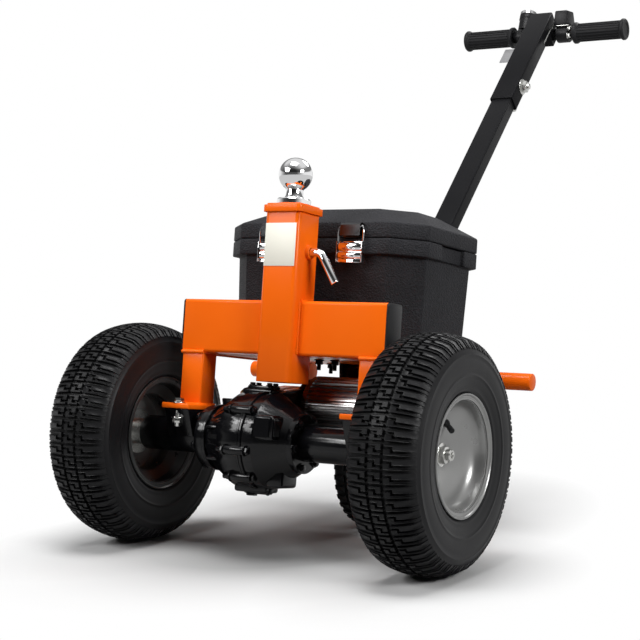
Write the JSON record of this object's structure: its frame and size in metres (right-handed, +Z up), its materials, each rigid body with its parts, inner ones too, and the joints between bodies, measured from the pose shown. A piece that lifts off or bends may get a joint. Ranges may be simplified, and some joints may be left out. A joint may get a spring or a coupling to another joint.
{
  "type": "electric trailer dolly",
  "caption": "Battery-powered walk-behind trailer dolly with driven turf wheels, a tow ball on a short mast, a battery box, a telescopic handle and a rear swivel wheel.",
  "frame": {"origin": "on the floor, under the middle of the part's box", "axes": "+X along the drive axle to the machine's right seen from the front, +Y from the tow ball to the handle, +Z up"},
  "size_m": [0.618, 1.1752, 0.9283],
  "materials": {
    "orange_paint": "glossy orange powder coat",
    "tyre_rubber": "matt black moulded rubber",
    "rim_grey": "satin silver-grey paint",
    "caster_grey": "pale grey paint",
    "zinc_steel": "bright zinc plate",
    "gloss_black": "glossy black paint on castings",
    "motor_aluminium": "bright extruded aluminium",
    "chrome": "polished chrome plate",
    "box_plastic": "dark grey grained plastic",
    "battery_case": "black battery case",
    "satin_black": "satin black powder coat",
    "black_plastic": "black moulded plastic",
    "grip_rubber": "ribbed black rubber",
    "plain_plate": "bare grey sheet metal"
  },
  "bodies": {
    "chassis": {"axle_saddle_left": "gloss_black", "axle_saddle_right": "gloss_black", "axle_tube_left": "gloss_black", "axle_tube_right": "gloss_black", "battery_block": "battery_case", "box_body": "box_plastic", "caster_mount": "gloss_black", "cross_tube": "orange_paint", "crossbar_left": "orange_paint", "crossbar_plug_left": "black_plastic", "crossbar_plug_right": "black_plastic", "crossbar_right": "orange_paint", "drive_motor": "motor_aluminium", "foot_plate_left": "orange_paint", "foot_plate_right": "orange_paint", "gear_case_left": "gloss_black", "gear_case_right": "gloss_black", "handle_bracket": "satin_black", "handle_lower": "satin_black", "hinge_leaves": "zinc_steel", "hitch_pin": "chrome", "latch_left": "chrome", "latch_right": "chrome", "leg_left": "orange_paint", "leg_right": "orange_paint", "lift_bar_left": "orange_paint", "lift_bar_right": "orange_paint", "mast": "orange_paint", "mast_cap": "orange_paint", "motor_cap": "gloss_black", "tow_ball": "chrome", "tray": "orange_paint"},
    "drive_wheel_left": {"tyre_left": "tyre_rubber", "rim_left": "rim_grey", "hub_left": "zinc_steel"},
    "drive_wheel_right": {"tyre_right": "tyre_rubber", "rim_right": "rim_grey", "hub_right": "zinc_steel"},
    "swivel_fork": {"caster_fork": "gloss_black", "caster_axle": "zinc_steel"},
    "swivel_wheel": {"caster_rim": "caster_grey", "caster_tyre": "tyre_rubber"},
    "lid": {"box_lid": "box_plastic", "lid_hinge_leaves": "zinc_steel", "latch_keepers": "chrome"},
    "handle_top": {"handle_upper": "satin_black", "bar_clamp": "satin_black", "grip_bar": "satin_black", "grip_left": "grip_rubber", "grip_right": "grip_rubber", "clamp_knob": "zinc_steel", "name_plate": "plain_plate", "gauge_pod": "black_plastic", "throttle_box": "black_plastic"}
  },
  "joints": [
    {"name": "left_wheel_spin", "type": "hinge", "parent": "chassis", "child": "drive_wheel_left", "pos_m": [-0.255, -0.4196, 0.168], "axis": [1, 0, 0], "continuous": true},
    {"name": "right_wheel_spin", "type": "hinge", "parent": "chassis", "child": "drive_wheel_right", "pos_m": [0.255, -0.4196, 0.168], "axis": [1, 0, 0], "continuous": true},
    {"name": "caster_swivel", "type": "hinge", "parent": "chassis", "child": "swivel_fork", "pos_m": [0, -0.1596, 0.219], "axis": [0, 0, 1], "continuous": true},
    {"name": "caster_spin", "type": "hinge", "parent": "swivel_fork", "child": "swivel_wheel", "pos_m": [0, -0.1296, 0.1], "axis": [1, 0, 0], "continuous": true},
    {"name": "lid_hinge", "type": "hinge", "parent": "chassis", "child": "lid", "pos_m": [0, -0.0695, 0.43457], "axis": [-1, 0, 0], "range_deg": [0, 105]},
    {"name": "handle_slide", "type": "slide", "parent": "chassis", "child": "handle_top", "axis": [0, 0.7169, 0.6972], "range_m": [-0.085, 0.07]}
  ]
}
